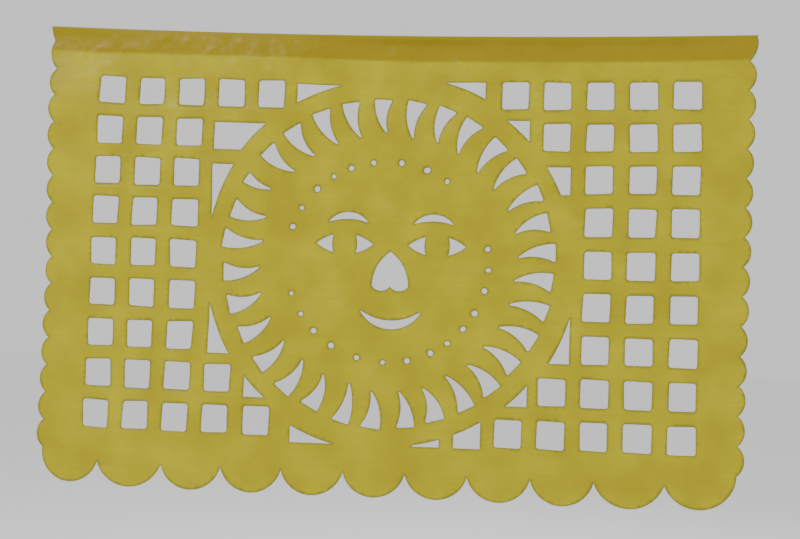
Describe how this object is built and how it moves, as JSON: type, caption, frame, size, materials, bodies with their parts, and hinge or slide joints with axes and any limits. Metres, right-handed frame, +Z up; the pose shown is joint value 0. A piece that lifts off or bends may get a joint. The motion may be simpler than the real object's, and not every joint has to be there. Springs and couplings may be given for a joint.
{
  "type": "papel picado banner",
  "caption": "Yellow tissue-paper papel picado banner with a cut-out smiling sun, a lattice field and scalloped edges, hung on a string through its folded top.",
  "frame": {"origin": "On the axis of the hanging string, at the middle of the banner's folded top edge.", "axes": "X runs along the string to the right seen from the front, Z is up, and the front of the sheet faces -Y."},
  "size_m": [0.5189, 0.0014, 0.3353],
  "materials": {
    "tissue_paper": "thin translucent yellow tissue paper, faintly glossy",
    "string": "fine twisted off-white cotton thread"
  },
  "bodies": {
    "root": {"cut_sheet": "tissue_paper", "hanging_string": "string"}
  },
  "joints": []
}
